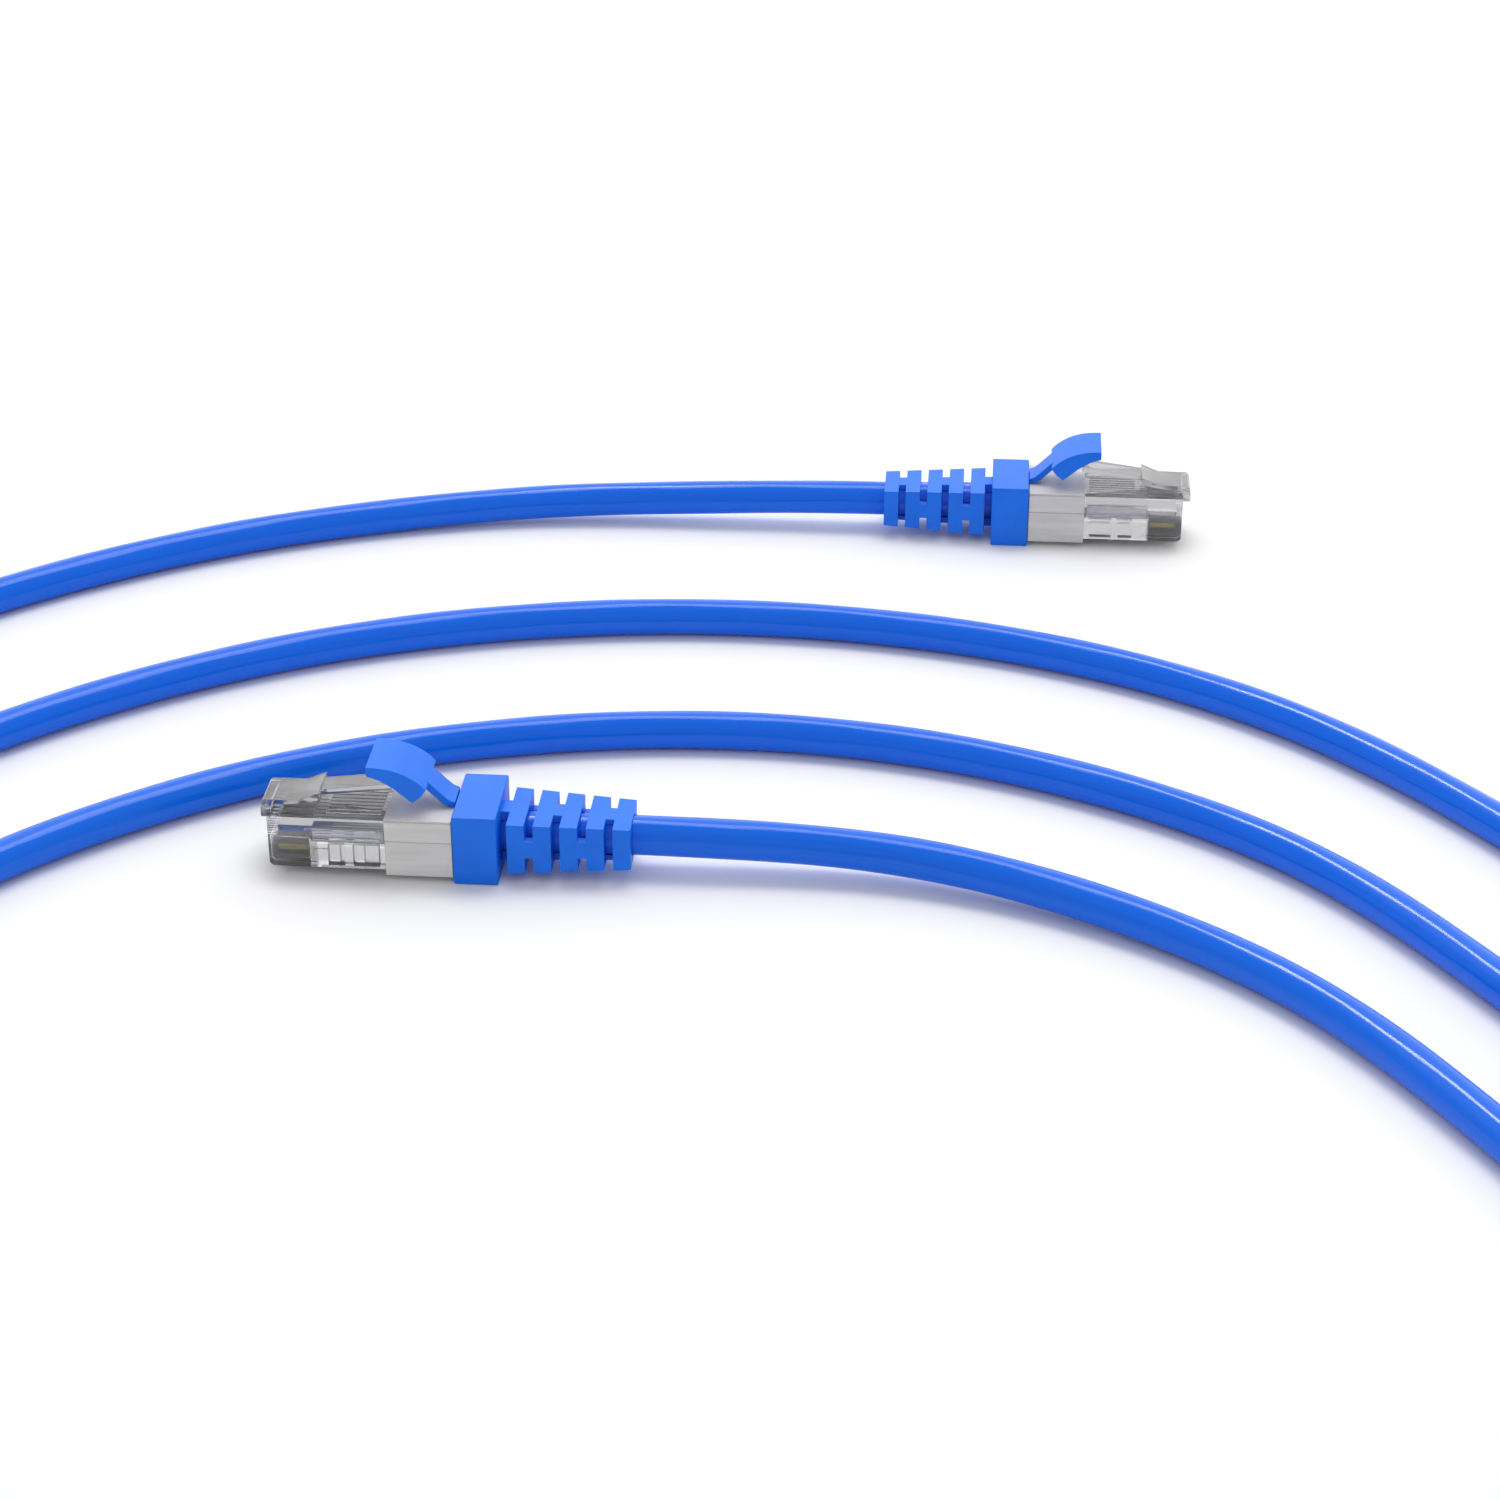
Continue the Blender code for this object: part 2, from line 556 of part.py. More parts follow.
def guard_mesh():
    """The boot's latch guard: a strap that rises from the collar and widens into a hood."""
    x0, top = COLLAR_FRONT_X, COLLAR_SIZE[1] / 2
    strap = [(0.1, 0.05), (1.0, 0.45), (2.1, 1.5), (3.8, 3.2), (5.2, 4.2), (5.2, 2.6),
             (4.4, 2.3), (3.0, 0.9), (1.8, -0.2), (1.0, -0.6), (0.1, -0.7)]
    hood = [(3.8, 3.0), (4.4, 3.7), (5.1, 4.3), (5.9, 4.85), (6.8, 5.35), (7.8, 5.75), (8.9, 6.08),
            (10.1, 6.28), (11.2, 6.36), (12.3, 6.38), (12.3, 4.95), (11.4, 4.72), (10.4, 4.3),
            (9.4, 3.75), (8.4, 3.05), (7.4, 2.2), (5.8, 0.9), (4.6, 1.9)]
    meshes = [
        outline_mesh(name, [(x0 + x * MM, top + z * MM) for x, z in points], width, GUARD_HINGE)
        for name, points, width in (
            ("hood", hood, GUARD_HOOD_WIDTH),
            ("strap", strap, GUARD_STRAP_WIDTH),
        )
    ]
    return combined("latch_guard", meshes[0], [meshes[1]], "UNION")


def latch_mesh():
    """The latch: a wide part from its root to the locking shoulders, then a narrow tail."""
    wide = [(52.1, 4.15), (53.4, 4.15), (53.4, 4.9), (53.0, 5.35), (48.0, 5.4), (44.9, 6.7),
            (44.9, 5.5), (47.5, 4.85), (51.6, 4.45)]
    tail = [(46.5, 5.2), (46.5, 5.9), (44.9, 6.55), (34.7, 7.9), (34.4, 7.4), (34.5, 6.9), (44.9, 5.65)]
    meshes = [
        outline_mesh(name, [(x * MM, z * MM) for x, z in points], width, LATCH_HINGE)
        for name, points, width in (("wide", wide, LATCH_WIDTH), ("tail", tail, LATCH_TAIL_WIDTH))
    ]
    return combined("latch", meshes[0], [meshes[1]], "UNION")


# ---------- assembly ----------


def add_plug(letter, half_turns, meshes, materials, collection):
    """Adds every piece of one plug, parented to the empty that is the plug's frame."""
    frame = add_object(f"plug_{letter}_frame", None, collection)
    frame.matrix_world = plug_matrix(half_turns)

    def place(name, mesh, colour, location=(0, 0, 0)):
        piece = add_object(name, mesh, collection)
        piece.parent = frame
        piece.location = location
        if not piece.data.materials:
            piece.data.materials.append(materials[colour])
        piece.data.shade_smooth()
        piece.data.set_sharp_from_angle(angle=math.radians(35))

    place(f"boot_{letter}", meshes["boot"], "blue_pvc")
    place(f"inner_mould_{letter}", meshes["mould"], "frosted")
    place(f"plug_housing_{letter}", meshes["housing"], "clear")
    place(f"wire_guide_{letter}", meshes["guide"], "guide")
    place(f"latch_guard_{letter}", meshes["guard"], "blue_pvc", (GUARD_HINGE[0], 0, GUARD_HINGE[1]))
    place(f"latch_{letter}", meshes["latch"], "clear", (LATCH_HINGE[0], 0, LATCH_HINGE[1]))
    for number, (wire, _) in enumerate(WIRES):
        place(f"contact_{letter}{number + 1}", meshes["contact"], "gold", (0, wire_y(number), 0))
        place(f"wire_{letter}{number + 1}_{wire}", meshes["wires"][number], wire)


def make_materials():
    materials = {
        "blue_pvc": material("blue_pvc", (0.02, 0.13, 0.83, 1), 0.35),
        "clear": material("clear_polycarbonate", (0.93, 0.94, 0.95, 1), 0.08, transmission=1.0),
        "frosted": material("frosted_plastic", (0.78, 0.78, 0.77, 1), 0.5, transmission=0.3),
        "guide": material("guide_plastic", (0.8, 0.8, 0.78, 1), 0.4),
        "gold": material("gold_plate", (0.83, 0.6, 0.2, 1), 0.25, metallic=1.0),
    }
    for name, colour in WIRES:
        materials[name] = material("wire_" + name, colour, 0.45)
    return materials


def main():
    for old in list(bpy.data.objects):
        bpy.data.objects.remove(old)
    collection = bpy.data.collections.new("ethernet_patch_cable")
    cutters = bpy.data.collections.new("cutters")
    for made in (collection, cutters):
        bpy.context.scene.collection.children.link(made)
    materials = make_materials()
    meshes = {
        "boot": boot_mesh(),
        "mould": mould_mesh(),
        "housing": housing_mesh(),
        "guide": guide_mesh(),
        "guard": guard_mesh(),
        "latch": latch_mesh(),
        "contact": contact_mesh(),
        "wires": [
            tube_mesh(f"wire_{number}", wire_points(number), WIRE_RADIUS, 2)
            for number in range(len(WIRES))
        ],
    }
    for letter, half_turns in (("a", 0), ("b", 1)):
        add_plug(letter, half_turns, meshes, materials, collection)
    jacket = tube_mesh("cable_jacket", cable_route(), CABLE_RADIUS, 4)
    jacket.materials.append(materials["blue_pvc"])
    jacket.shade_smooth()
    add_object("cable_jacket", jacket, collection)


main()
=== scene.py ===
"""Ethernet patch cable: the visual model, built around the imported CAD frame.

Metres, +Z up, in the CAD's frame. The camera and the cable come first, then the materials, the
pieces of the two plugs, and the floor and lights.
"""

import math

import bmesh
import bpy
from mathutils import Matrix, Vector


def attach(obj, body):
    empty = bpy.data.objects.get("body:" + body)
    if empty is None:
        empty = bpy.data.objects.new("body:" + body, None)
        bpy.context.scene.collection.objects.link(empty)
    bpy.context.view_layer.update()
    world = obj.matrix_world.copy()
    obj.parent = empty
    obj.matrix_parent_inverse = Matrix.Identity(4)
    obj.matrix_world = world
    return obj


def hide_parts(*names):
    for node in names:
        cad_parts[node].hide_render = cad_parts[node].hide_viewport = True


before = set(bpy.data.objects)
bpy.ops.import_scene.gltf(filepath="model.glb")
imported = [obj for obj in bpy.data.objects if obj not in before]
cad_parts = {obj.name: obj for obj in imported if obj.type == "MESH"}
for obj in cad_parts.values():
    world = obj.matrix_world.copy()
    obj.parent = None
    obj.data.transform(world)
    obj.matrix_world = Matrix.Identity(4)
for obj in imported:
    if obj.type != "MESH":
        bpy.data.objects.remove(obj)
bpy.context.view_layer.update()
MM = 0.001

# ---------- camera ----------

camera_data = bpy.data.cameras.new("camera")
camera_data.sensor_width = 36.0
camera_data.lens = 76.8
camera_data.clip_start = 0.01
camera_data.clip_end = 50.0
camera = bpy.data.objects.new("camera", camera_data)
camera.location = (-0.0036, -0.4616, 0.2325)
camera.rotation_euler = (math.radians(62.0), 0.0, 0.0)
bpy.context.scene.collection.objects.link(camera)
bpy.context.scene.camera = camera
bpy.context.scene.view_settings.view_transform = "Standard"

# ---------- sizes that part.py settles ----------

CABLE_RADIUS = 2.95 * MM
CABLE_END_X = 30.0 * MM
SAG_LENGTH = 110 * MM
PLUG_CENTRE = Vector((0.047, 0.0585))
PLUG_YAW = math.radians(-4.5)
PLUG_MIDDLE_X = 26.75 * MM
AXIS_HEIGHT = 5.45 * MM
WIRE_PITCH = 1.02 * MM

# the cable's route on the floor, from plug A's boot to plug B's, as three loose turns
ROUTE = [
    (-0.0140, 0.0630), (-0.0390, 0.0634), (-0.0660, 0.0588), (-0.0910, 0.0500),
    (-0.1150, 0.0365), (-0.1370, 0.0190), (-0.1560, -0.0040), (-0.1690, -0.0370),
    (-0.1720, -0.0760), (-0.1650, -0.1170), (-0.1505, -0.1580), (-0.1290, -0.1975),
    (-0.0920, -0.2275), (-0.0400, -0.2365), (0.0150, -0.2370), (0.0660, -0.2305),
    (0.1075, -0.2130), (0.1320, -0.1820), (0.1405, -0.1470), (0.1350, -0.1115),
    (0.1220, -0.0806), (0.1060, -0.0530), (0.0820, -0.0215), (0.0530, 0.0000),
    (0.0210, 0.0125), (-0.0120, 0.0172), (-0.0450, 0.0145), (-0.0770, 0.0045),
    (-0.1060, -0.0125), (-0.1300, -0.0345), (-0.1480, -0.0630), (-0.1540, -0.0980),
    (-0.1470, -0.1350), (-0.1320, -0.1720), (-0.1060, -0.2030), (-0.0700, -0.2215),
    (-0.0240, -0.2280), (0.0260, -0.2275), (0.0740, -0.2190), (0.1085, -0.1935),
    (0.1205, -0.1610), (0.1130, -0.1288), (0.0971, -0.0966), (0.0760, -0.0635),
    (0.0490, -0.0415), (0.0195, -0.0283), (-0.0115, -0.0232), (-0.0420, -0.0260),
    (-0.0720, -0.0358), (-0.0990, -0.0526), (-0.1210, -0.0750), (-0.1360, -0.1050),
    (-0.1350, -0.1380), (-0.1210, -0.1690), (-0.0980, -0.1960), (-0.0660, -0.2115),
    (-0.0230, -0.2165), (0.0240, -0.2165), (0.0670, -0.2100), (0.0940, -0.1885),
    (0.1000, -0.1610), (0.0896, -0.1312), (0.0705, -0.0990), (0.0455, -0.0770),
    (0.0180, -0.0648),
]


def plug_matrix(half_turns):
    """Where a plug's own frame lies: half_turns is 0 for plug A and 1 for plug B."""
    local = Matrix.Translation((-PLUG_MIDDLE_X, 0, AXIS_HEIGHT))
    placed = Matrix.Translation((*PLUG_CENTRE, 0)) @ Matrix.Rotation(PLUG_YAW, 4, "Z")
    return Matrix.Rotation(math.pi * half_turns, 4, "Z") @ placed @ local


# ---------- the cable ----------

RING_SPACING = 2.4 * MM  # along the cable between the plugs
STRAIGHT_RINGS = 14  # in each plug
CABLE_SIDES = 28
PAIRS = 4
LAY_LENGTH = 0.11  # in which the pairs turn once round each other
LAY_WAVE = 0.022 * MM  # half the depth of the waves over the pairs
DRIFT_WAVE = 0.014 * MM  # half the depth of slower, uneven waves
DRIFT_RATES = (41.0, 17.0)  # of those waves, in radians for each metre of cable


def spline_bends(points, steps):
    """The second derivatives of a natural cubic spline at its points."""
    count = len(points)
    ratios = [0.0] * count
    sums = [Vector((0, 0, 0)) for _ in points]
    for i in range(1, count - 1):
        slope_before = (points[i] - points[i - 1]) / steps[i - 1]
        slope_after = (points[i + 1] - points[i]) / steps[i]
        pivot = 2 * (steps[i - 1] + steps[i]) - steps[i - 1] * ratios[i - 1]
        ratios[i] = steps[i] / pivot
        sums[i] = (6 * (slope_after - slope_before) - steps[i - 1] * sums[i - 1]) / pivot
    bends = [Vector((0, 0, 0)) for _ in points]
    for i in range(count - 2, 0, -1):
        bends[i] = sums[i] - ratios[i] * bends[i + 1]
    return bends


def smooth_curve(points, spacing):
    """Points at about that spacing along the natural cubic spline through the given points."""
    reach = [0.0]
    for near, far in zip(points, points[1:]):
        reach.append(reach[-1] + (far - near).length)
    steps = [b - a for a, b in zip(reach, reach[1:])]
    bends = spline_bends(points, steps)
    made = []
    count = round(reach[-1] / spacing)
    index = 0
    for i in range(count + 1):
        at = reach[-1] * i / count
        while index < len(steps) - 1 and reach[index + 1] < at:
            index += 1
        step = steps[index]
        a = (reach[index + 1] - at) / step
        b = 1 - a
        curved = bends[index] * (a**3 - a) + bends[index + 1] * (b**3 - b)
        made.append(points[index] * a + points[index + 1] * b + curved * step**2 / 6)
    return made


def height_at(length):
    """The height of the cable's axis, that much cable beyond a boot: it sags like a held beam."""
    left = max(1 - length / SAG_LENGTH, 0)
    return CABLE_RADIUS + (AXIS_HEIGHT - CABLE_RADIUS) * left**3 * (4 - 3 * left)


def cable_path():
    """The cable's middle line, from inside plug A to inside plug B."""
    laid = [Vector((x, y, 0)) for x, y in ROUTE]
    exits = [
        [plug_matrix(turns) @ Vector((x * MM, 0, -AXIS_HEIGHT)) for x in (0, -4)] for turns in (0, 1)
    ]
    between = smooth_curve(exits[0] + laid + exits[1][::-1], RING_SPACING)
    lengths = [0.0]
    for near, far in zip(between, between[1:]):
        lengths.append(lengths[-1] + (far - near).length)
    for point, length in zip(between, lengths):
        point.z = height_at(min(length, lengths[-1] - length))
    straight = []
    for turns in (0, 1):
        depths = [CABLE_END_X * (1 - i / STRAIGHT_RINGS) for i in range(STRAIGHT_RINGS)]
        straight.append([plug_matrix(turns) @ Vector((depth, 0, 0)) for depth in depths])
    return straight[0] + between + straight[1][::-1]


def tube_mesh(name, path, radius, sides, unevenness):
    """A capped round tube along the path, with u along its length in metres and v around it.

    unevenness(length, angle) gives how far the surface stands off its radius.
    """
    bm = bmesh.new()
    uv_layer = bm.loops.layers.uv.new("UVMap")
    rings, lengths = [], []
    length = 0.0
    for index, point in enumerate(path):
        before, after = path[max(index - 1, 0)], path[min(index + 1, len(path) - 1)]
        along = (after - before).normalized()
        across = Vector((0, 0, 1)).cross(along).normalized()
        up = along.cross(across)
        if index:
            length += (point - path[index - 1]).length
        lengths.append(length)
        ring = []
        for side in range(sides):
            angle = 2 * math.pi * side / sides
            reach = radius + unevenness(length, angle)
            ring.append(bm.verts.new(point + (across * math.cos(angle) + up * math.sin(angle)) * reach))
        rings.append(ring)
    for number in range(len(rings) - 1):
        for side in range(sides):
            other = (side + 1) % sides
            face = bm.faces.new((
                rings[number][side], rings[number][other],
                rings[number + 1][other], rings[number + 1][side],
            ))
            places = ((number, side), (number, side + 1), (number + 1, side + 1), (number + 1, side))
            for loop, (ring, turn) in zip(face.loops, places):
                loop[uv_layer].uv = (lengths[ring], turn / sides)
    bm.faces.new(rings[0][::-1])
    bm.faces.new(rings[-1])
    bmesh.ops.recalc_face_normals(bm, faces=bm.faces)
    mesh = bpy.data.meshes.new(name)
    bm.to_mesh(mesh)
    bm.free()
    mesh.shade_smooth()
    return mesh


def jacket_unevenness(length, angle):
    """The jacket's faint waves where it lies over the twisted pairs, none of them outwards."""
    lay = math.cos(PAIRS * (angle - 2 * math.pi * length / LAY_LENGTH))
    drift = math.sin(length * DRIFT_RATES[0]) * math.cos(2 * angle + length * DRIFT_RATES[1])
    return -LAY_WAVE * (1 - lay) - DRIFT_WAVE * (1 - drift)


def add_piece(name, mesh):
    """A new object of that mesh in the scene."""
    made = bpy.data.objects.new(name, mesh)
    bpy.context.scene.collection.objects.link(made)
    return made


path = cable_path()
cable = add_piece("cable", tube_mesh("cable", path, CABLE_RADIUS, CABLE_SIDES, jacket_unevenness))
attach(cable, "cable")
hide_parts("cable_jacket")


# ---------- materials ----------

MIX_COLOUR_A, MIX_COLOUR_B, MIX_COLOUR_RESULT = 6, 7, 2  # a Mix node's sockets for colours

# a plug's clear plastic tinted by height above the surface, as painted light and shade: palest in the
# band beside the wires, darker below it and darker still above it
PAINTED_SHADE_BY_HEIGHT = [
    (1.5 * MM, 0.47), (4.8 * MM, 0.47), (5.2 * MM, 0.95), (7.2 * MM, 0.95),
    (7.7 * MM, 0.42), (9.4 * MM, 0.40), (12.0 * MM, 0.40),
]
PLATED_HEIGHTS = (3.35 * MM, 4.25 * MM)  # the band of a contact that is gold plated

# the wires in the order of the contacts, with the colours of their insulation
WIRES = {
    "white_orange": (0.74, 0.70, 0.67),
    "orange": (0.10, 0.06, 0.04),
    "white_green": (0.68, 0.73, 0.70),
    "blue": (0.03, 0.04, 0.13),
    "white_blue": (0.66, 0.70, 0.80),
    "green": (0.03, 0.06, 0.045),
    "white_brown": (0.72, 0.70, 0.68),
    "brown": (0.05, 0.04, 0.035),
}


def new_material(name):
    """An empty Principled material: (material, its nodes, its links, the shader)."""
    made = bpy.data.materials.new(name)
    made.use_nodes = True
    nodes = made.node_tree.nodes
    return made, nodes, made.node_tree.links, nodes["Principled BSDF"]


def noise(nodes, links, coordinates, scale, detail, stretch=None):
    """A noise texture's factor output over the coordinates, which may be stretched first."""
    texture = nodes.new("ShaderNodeTexNoise")
    texture.inputs["Scale"].default_value = scale
    texture.inputs["Detail"].default_value = detail
    source = coordinates
    if stretch:
        mapping = nodes.new("ShaderNodeMapping")
        mapping.inputs["Scale"].default_value = stretch
        links.new(coordinates, mapping.inputs["Vector"])
        source = mapping.outputs["Vector"]
    links.new(source, texture.inputs["Vector"])
    return texture.outputs["Fac"]


def ramp(nodes, links, factor, stops):
    """A colour ramp over (position, colour) stops."""
    made = nodes.new("ShaderNodeValToRGB")
    elements = made.color_ramp.elements
    while len(elements) < len(stops):
        elements.new(0.5)
    for element, (position, colour) in zip(elements, stops):
        element.position = position
        element.color = (*colour, 1)
    links.new(factor, made.inputs["Fac"])
    return made.outputs["Color"]


def spread(nodes, links, factor, low, high):
    """Maps a factor from 0 to 1 onto low to high."""
    made = nodes.new("ShaderNodeMapRange")
    made.inputs["To Min"].default_value = low
    made.inputs["To Max"].default_value = high
    links.new(factor, made.inputs["Value"])
    return made.outputs["Result"]


def spread_between(nodes, links, value, low, high):
    """Maps a value from low to high onto 0 to 1."""
    made = nodes.new("ShaderNodeMapRange")
    made.inputs["From Min"].default_value = low
    made.inputs["From Max"].default_value = high
    links.new(value, made.inputs["Value"])
    return made.outputs["Result"]


def calculated(nodes, links, operation, value, number):
    """The result of a math node's operation on the value and the number."""
    made = nodes.new("ShaderNodeMath")
    made.operation = operation
    links.new(value, made.inputs[0])
    made.inputs[1].default_value = number
    return made.outputs["Value"]


def bump(nodes, links, shader, height, distance, strength):
    """Gives the shader a bump that is the distance deep at full height."""
    made = nodes.new("ShaderNodeBump")
    made.inputs["Distance"].default_value = distance
    made.inputs["Strength"].default_value = strength
    links.new(height, made.inputs["Height"])
    links.new(made.outputs["Normal"], shader.inputs["Normal"])


def position(nodes):
    """Where a point lies on the piece at rest."""
    return nodes.new("ShaderNodeTexCoord").outputs["Object"]


def make_jacket():
    """Glossy extruded PVC, with faint drawing lines along it."""
    made, nodes, links, shader = new_material("jacket_pvc")
    uv = nodes.new("ShaderNodeTexCoord").outputs["UV"]
    lines = noise(nodes, links, uv, scale=40.0, detail=3.0, stretch=(0.6, 2.2, 1.0))
    colour = ramp(nodes, links, lines, [(0.3, (0.001, 0.124, 0.735)), (0.7, (0.002, 0.145, 0.812))])
    links.new(colour, shader.inputs["Base Color"])
    links.new(spread(nodes, links, lines, 0.11, 0.18), shader.inputs["Roughness"])
    fine = noise(nodes, links, uv, scale=120.0, detail=2.0)
    bump(nodes, links, shader, fine, distance=0.03 * MM, strength=0.25)
    shader.inputs["Specular IOR Level"].default_value = 0.26
    return made


def make_boot():
    """Satin moulded PVC with a fine spark-eroded grain and paler handled areas."""
    made, nodes, links, shader = new_material("boot_pvc")
    place = position(nodes)
    broad = noise(nodes, links, place, scale=220.0, detail=3.0)
    colour = ramp(nodes, links, broad, [(0.3, (0.001, 0.150, 0.780)), (0.7, (0.003, 0.175, 0.860))])
    links.new(colour, shader.inputs["Base Color"])
    links.new(spread(nodes, links, broad, 0.38, 0.5), shader.inputs["Roughness"])
    grain = noise(nodes, links, place, scale=6000.0, detail=2.0)
    bump(nodes, links, shader, grain, distance=0.02 * MM, strength=0.35)
    shader.inputs["Specular IOR Level"].default_value = 0.28
    return made


def make_clear():
    """Clear moulded polycarbonate with slight flow marks, its tint painted light and shade that change
    with height.
    """
    made, nodes, links, shader = new_material("clear_polycarbonate")
    shader.inputs["Transmission Weight"].default_value = 0.92
    shader.inputs["IOR"].default_value = 1.36
    shader.inputs["Coat Weight"].default_value = 0.6
    shader.inputs["Coat Roughness"].default_value = 0.05
    place = position(nodes)
    flow = noise(nodes, links, place, scale=260.0, detail=3.0)
    parts = nodes.new("ShaderNodeSeparateXYZ")
    links.new(place, parts.inputs["Vector"])
    top = PAINTED_SHADE_BY_HEIGHT[-1][0]
    height = nodes.new("ShaderNodeMath")
    height.operation = "ADD"
    links.new(spread_between(nodes, links, parts.outputs["Z"], 0.0, top), height.inputs[0])
    links.new(spread(nodes, links, flow, -0.02, 0.02), height.inputs[1])
    # painted light and shade: the plastic's tint by height, not its own colour
    colour = ramp(nodes, links, height.outputs["Value"], [
        (level / top, (painted_tint, painted_tint, painted_tint * 1.03)) for level, painted_tint in PAINTED_SHADE_BY_HEIGHT
    ])
    links.new(colour, shader.inputs["Base Color"])
    links.new(spread(nodes, links, flow, 0.02, 0.07), shader.inputs["Roughness"])
    bump(nodes, links, shader, flow, distance=0.08 * MM, strength=0.04)
    return made


def make_frosted():
    """Frosted plastic that lets some light through, with faint level streaks of painted light in its
    colour.
    """
    made, nodes, links, shader = new_material("frosted_plastic")
    shader.inputs["Transmission Weight"].default_value = 0.25
    shader.inputs["IOR"].default_value = 1.45
    place = position(nodes)
    # painted light: the level streaks stand in for bands of light bent through the plastic
    cloud = noise(nodes, links, place, scale=700.0, detail=2.0, stretch=(0.08, 0.08, 1.0))
    colour = ramp(nodes, links, cloud, [(0.35, (0.74, 0.725, 0.70)), (0.65, (0.87, 0.855, 0.83))])
    links.new(colour, shader.inputs["Base Color"])
    links.new(spread(nodes, links, cloud, 0.26, 0.4), shader.inputs["Roughness"])
    grain = noise(nodes, links, place, scale=3000.0, detail=2.0)
    bump(nodes, links, shader, grain, distance=0.03 * MM, strength=0.2)
    return made


def make_guide():
    """Milky plastic, with dark lines of painted shade along it between the wires."""
    made, nodes, links, shader = new_material("guide_plastic")
    place = position(nodes)
    turned = nodes.new("ShaderNodeMapping")
    turned.inputs["Rotation"].default_value = (0, 0, -PLUG_YAW)
    links.new(place, turned.inputs["Vector"])
    parts = nodes.new("ShaderNodeSeparateXYZ")
    links.new(turned.outputs["Vector"], parts.inputs["Vector"])
    # both plugs' axes run along X here, plug A's and plug B's on either side of the origin
    axis_y = (Matrix.Rotation(-PLUG_YAW, 2) @ PLUG_CENTRE).y
    from_origin = calculated(nodes, links, "ABSOLUTE", parts.outputs["Y"], 0)
    off_axis = calculated(nodes, links, "SUBTRACT", from_origin, axis_y)
    pitches = calculated(nodes, links, "DIVIDE", off_axis, WIRE_PITCH)
    # painted shade: near-black lines where the grooves between the wires would lie in shadow
    painted_groove_shade = ramp(nodes, links, calculated(nodes, links, "PINGPONG", pitches, 0.5), [
        (0.10, (0.04, 0.04, 0.045)), (0.16, (0.90, 0.90, 0.90)),
    ])
    links.new(painted_groove_shade, shader.inputs["Base Color"])
    shader.inputs["IOR"].default_value = 1.3
    cloud = noise(nodes, links, place, scale=300.0, detail=3.0)
    links.new(spread(nodes, links, cloud, 0.25, 0.4), shader.inputs["Roughness"])
    return made


def make_plating():
    """Nickel plating painted near black as shade, and gold plating on one band of it, both a little
    worn.
    """
    made, nodes, links, shader = new_material("gold_plate")
    place = position(nodes)
    wear = noise(nodes, links, place, scale=900.0, detail=4.0)
    gold = ramp(nodes, links, wear, [(0.3, (0.98, 0.72, 0.12)), (0.7, (1.0, 0.82, 0.22))])
    # painted shade: the nickel is near black, far darker than bare nickel, for contact sides lying in
    # shadow
    shaded_nickel = ramp(nodes, links, wear, [(0.3, (0.03, 0.028, 0.022)), (0.7, (0.05, 0.047, 0.038))])
    parts = nodes.new("ShaderNodeSeparateXYZ")
    links.new(place, parts.inputs["Vector"])
    band = ramp(nodes, links, spread_between(nodes, links, parts.outputs["Z"], *PLATED_HEIGHTS), [
        (0.0, (0, 0, 0)), (0.08, (1, 1, 1)), (0.92, (1, 1, 1)), (1.0, (0, 0, 0)),
    ])
    mix = nodes.new("ShaderNodeMix")
    mix.data_type = "RGBA"
    links.new(band, mix.inputs["Factor"])
    links.new(shaded_nickel, mix.inputs[MIX_COLOUR_A])
    links.new(gold, mix.inputs[MIX_COLOUR_B])
    links.new(mix.outputs[MIX_COLOUR_RESULT], shader.inputs["Base Color"])
    shader.inputs["Metallic"].default_value = 1.0
    links.new(spread(nodes, links, wear, 0.15, 0.32), shader.inputs["Roughness"])
    return made


def make_wire(name, colour):
    """Wire insulation, slightly uneven in tone."""
    made, nodes, links, shader = new_material("insulation_" + name)
    place = position(nodes)
    tone = noise(nodes, links, place, scale=500.0, detail=3.0)
    darker = tuple(channel * 0.85 for channel in colour)
    uneven = ramp(nodes, links, tone, [(0.3, darker), (0.7, colour)])
    links.new(uneven, shader.inputs["Base Color"])
    links.new(spread(nodes, links, tone, 0.3, 0.45), shader.inputs["Roughness"])
    return made


def paint(obj, material):
    """Makes that the object's only material."""
    obj.data.materials.clear()
    obj.data.materials.append(material)


jacket_pvc = make_jacket()
boot_pvc = make_boot()
clear = make_clear()
frosted = make_frosted()
guide_plastic = make_guide()
plating = make_plating()
insulation = {name: make_wire(name, colour) for name, colour in WIRES.items()}
paint(cable, jacket_pvc)


def soften(node, width):
    """Rounds the sharp edges of a CAD node that is shown as it is."""
    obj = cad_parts[node]
    weld = obj.modifiers.new("weld", "WELD")
    weld.merge_threshold = 0.000002
    bevel = obj.modifiers.new("round", "BEVEL")
    bevel.width = width
    bevel.segments = 2
    bevel.limit_method = "ANGLE"
    bevel.angle_limit = math.radians(30)
    bevel.use_clamp_overlap = True
    obj.data.shade_smooth()
    smooth = obj.modifiers.new("normals", "WEIGHTED_NORMAL")
    smooth.keep_sharp = True


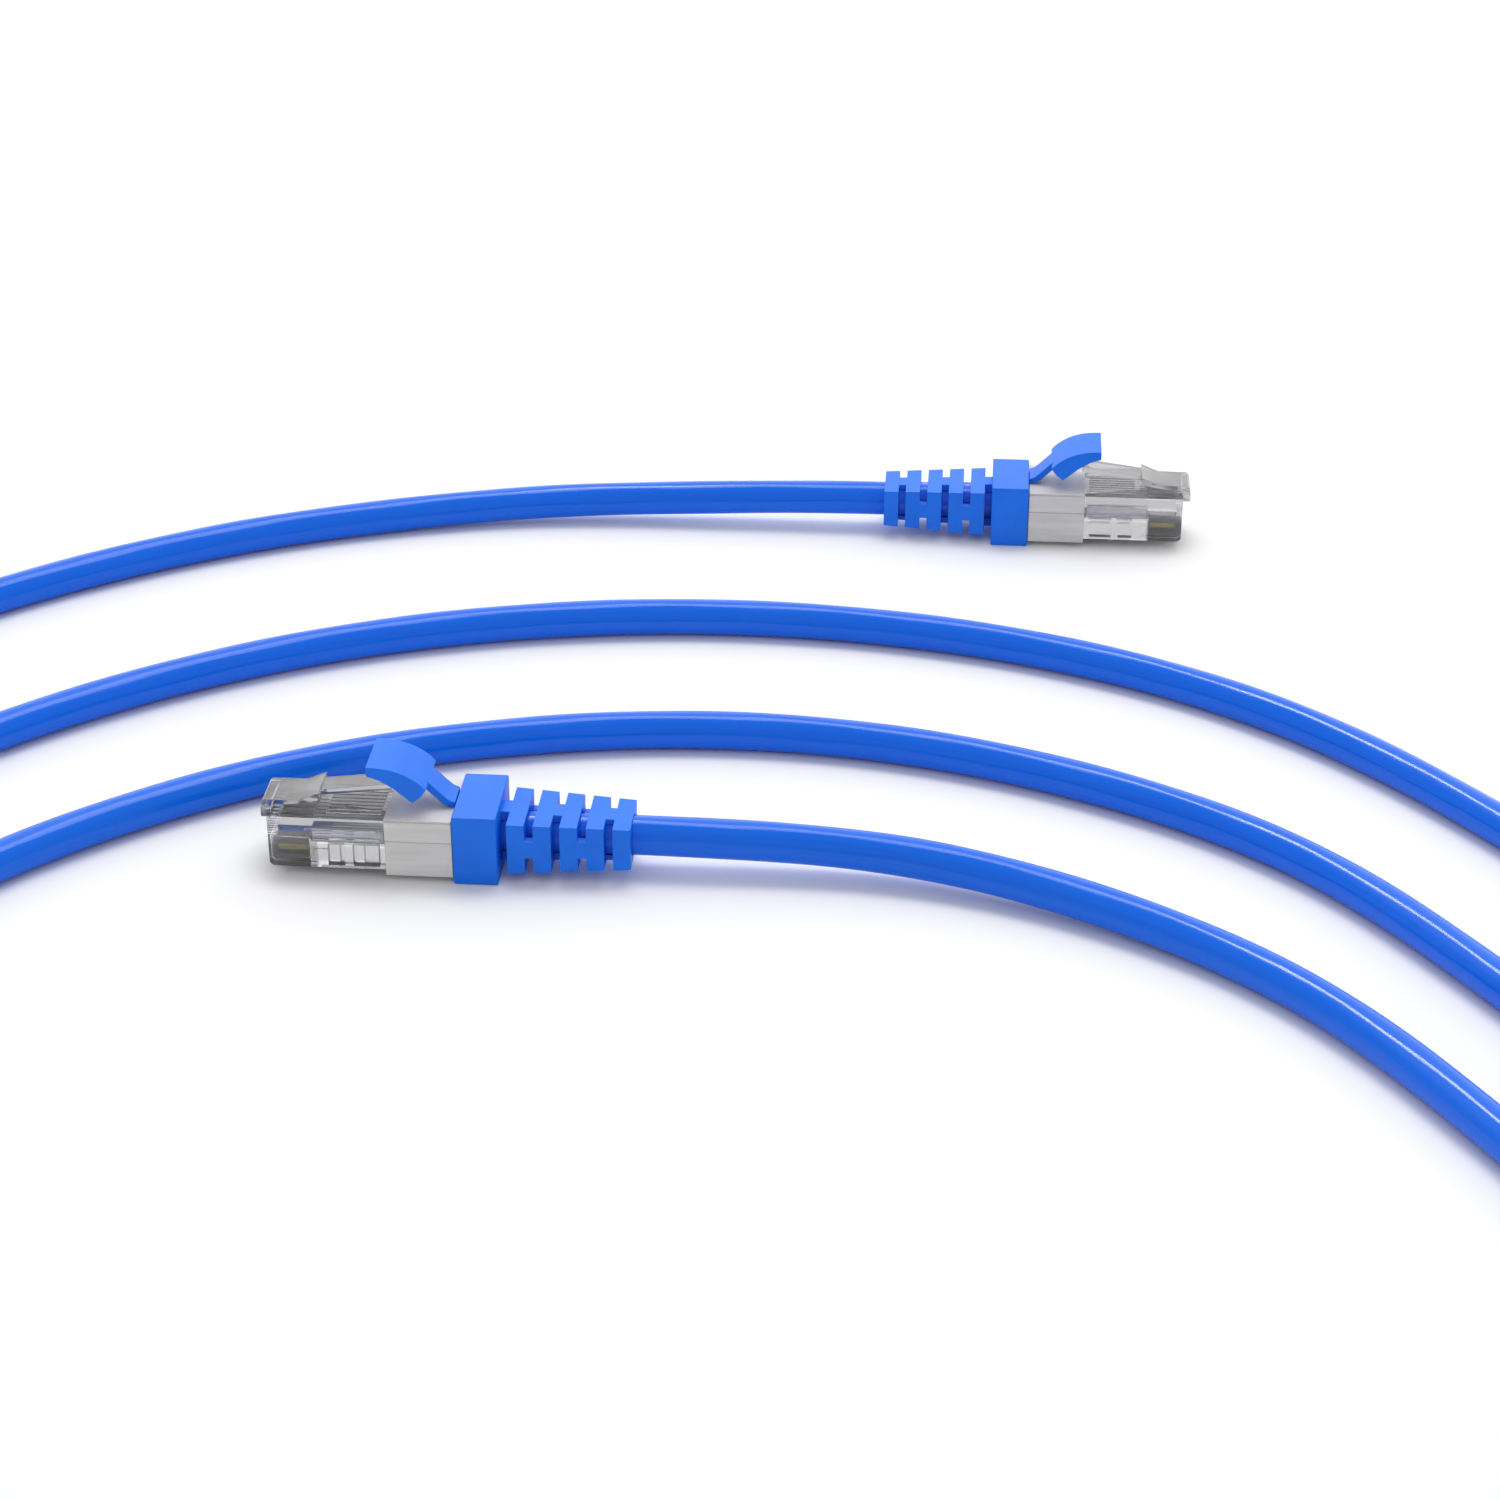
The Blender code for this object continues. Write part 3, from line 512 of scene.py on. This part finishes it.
# a plug's moulded pieces: material, and the rounding of their edges
MOULDED = {
    "boot": (boot_pvc, 0.12 * MM),
    "latch_guard": (boot_pvc, 0.12 * MM),
    "inner_mould": (frosted, 0.12 * MM),
    "plug_housing": (clear, 0.08 * MM),
    "latch": (clear, 0.1 * MM),
    "wire_guide": (guide_plastic, 0.05 * MM),
}

for letter in "ab":
    for kind, (material, width) in MOULDED.items():
        node = f"{kind}_{letter}"
        paint(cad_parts[node], material)
        soften(node, width)
    for number, name in enumerate(WIRES, start=1):
        paint(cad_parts[f"contact_{letter}{number}"], plating)
        paint(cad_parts[f"wire_{letter}{number}_{name}"], insulation[name])

# ---------- floor and light ----------

bpy.ops.mesh.primitive_plane_add(size=12, location=(0, 0, 0))
floor = bpy.context.object
floor.name = "floor"
floor_material, _, _, shader = new_material("floor")
shader.inputs["Base Color"].default_value = (0.9, 0.9, 0.9, 1)
shader.inputs["Roughness"].default_value = 0.9
shader.inputs["Specular IOR Level"].default_value = 0.1
paint(floor, floor_material)

world = bpy.data.worlds.new("studio")
world.use_nodes = True
nodes, links = world.node_tree.nodes, world.node_tree.links
direction = nodes.new("ShaderNodeSeparateXYZ")
links.new(nodes.new("ShaderNodeTexCoord").outputs["Generated"], direction.inputs["Vector"])
# bright light from behind the object, and dimmer light from everywhere else
wall = ramp(nodes, links, spread_between(nodes, links, direction.outputs["Y"], 0.24, 0.36), [
    (0.0, (0.62, 0.62, 0.63)), (1.0, (1.45, 1.45, 1.45)),
])
links.new(wall, nodes["Background"].inputs["Color"])
bpy.context.scene.world = world


def area_light(name, place, target, size, power):
    """A rectangular light of that size at the place, turned to the target."""
    data = bpy.data.lights.new(name, "AREA")
    data.shape = "RECTANGLE"
    data.size, data.size_y = size
    data.energy = power
    made = bpy.data.objects.new(name, data)
    made.location = place
    made.rotation_euler = (Vector(target) - Vector(place)).to_track_quat("-Z", "Y").to_euler()
    bpy.context.scene.collection.objects.link(made)
    return made


area_light("key", (0.15, 0.35, 1.3), target=(0, -0.05, 0), size=(0.9, 0.5), power=7.0)
glint = area_light("glint", (-0.25, 0.56, 1.04), target=(0.1, -0.045, 0), size=(0.22, 0.22), power=3.3)
glint.visible_diffuse = False  # it only adds the thin highlight along the cable
